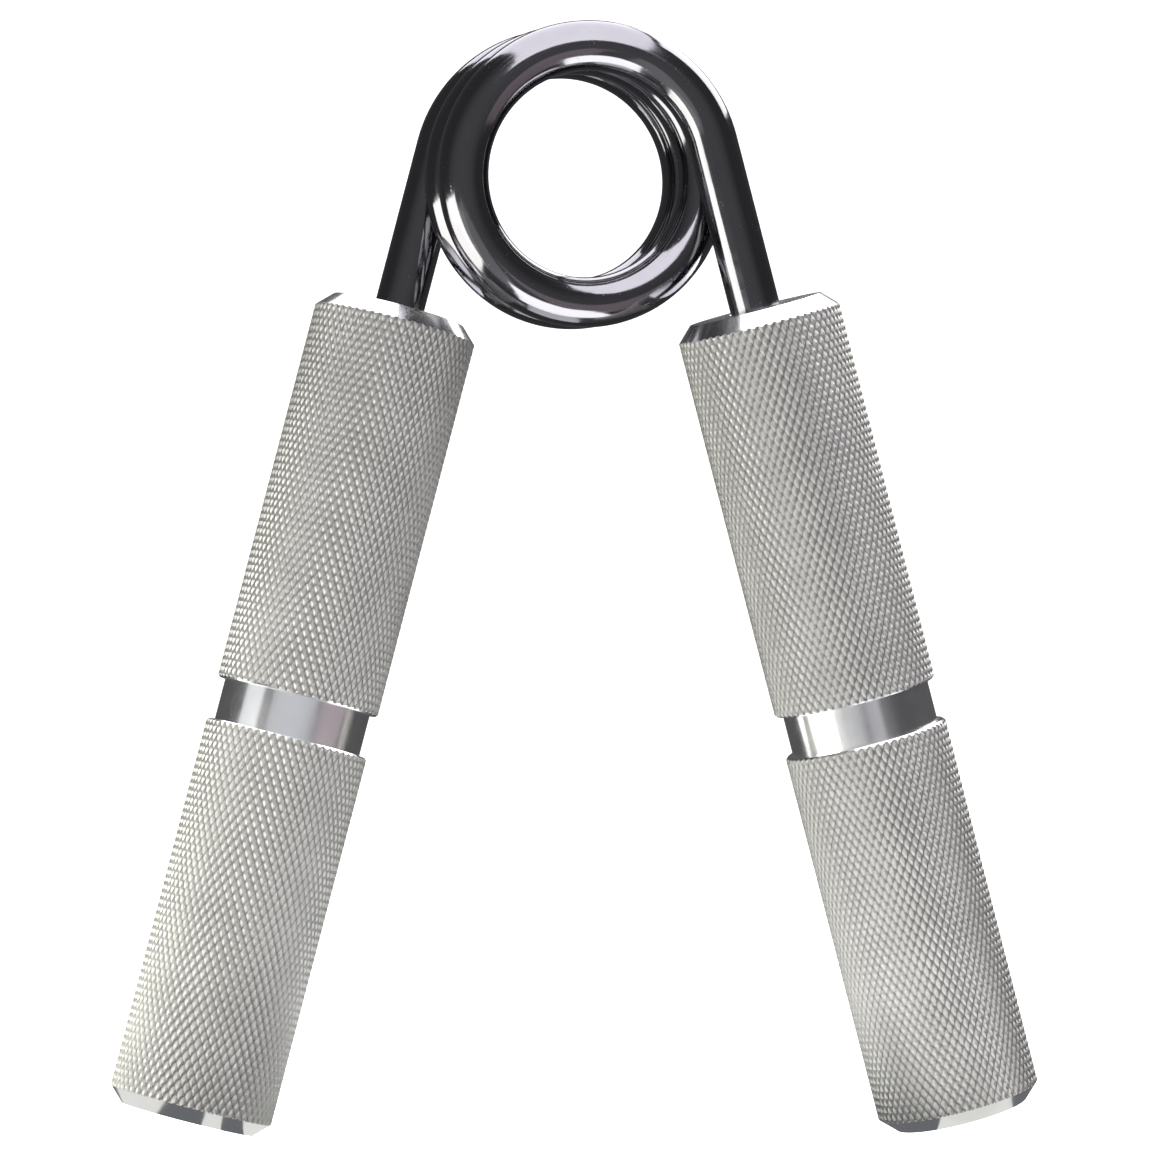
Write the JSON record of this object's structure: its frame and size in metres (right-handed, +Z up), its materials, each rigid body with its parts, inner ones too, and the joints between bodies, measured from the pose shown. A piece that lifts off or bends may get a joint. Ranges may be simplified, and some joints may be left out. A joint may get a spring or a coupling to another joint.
{
  "type": "torsion spring hand gripper",
  "caption": "Heavy hand grip exerciser: two knurled, grooved metal billet handles splayed from one coiled torsion spring, closing towards each other.",
  "frame": {"origin": "midway between the lowest rims of the two handles, below the middle of the coil", "axes": "+Z up from the handles to the coil; Y along the coil's axis, the right arm on the -Y side; X across the spread of the handles, +X towards the right handle"},
  "size_m": [0.139, 0.0452, 0.168],
  "materials": {
    "spring_wire": "dark polished chrome on spring steel wire",
    "billet": "turned billet, diamond knurled grips, polished groove and chamfers"
  },
  "bodies": {
    "palm_arm": {"handle_left": "billet", "spring_leg_left": "spring_wire", "spring_coil": "spring_wire"},
    "finger_arm": {"handle_right": "billet", "spring_leg_right": "spring_wire"}
  },
  "joints": [
    {"name": "squeeze", "type": "hinge", "parent": "palm_arm", "child": "finger_arm", "pos_m": [0, 0, 0.14497], "axis": [0, 1, 0], "range_deg": [0, 38.5], "stiffness_Nm_per_rad": 115, "deforming": ["spring_coil"]}
  ]
}
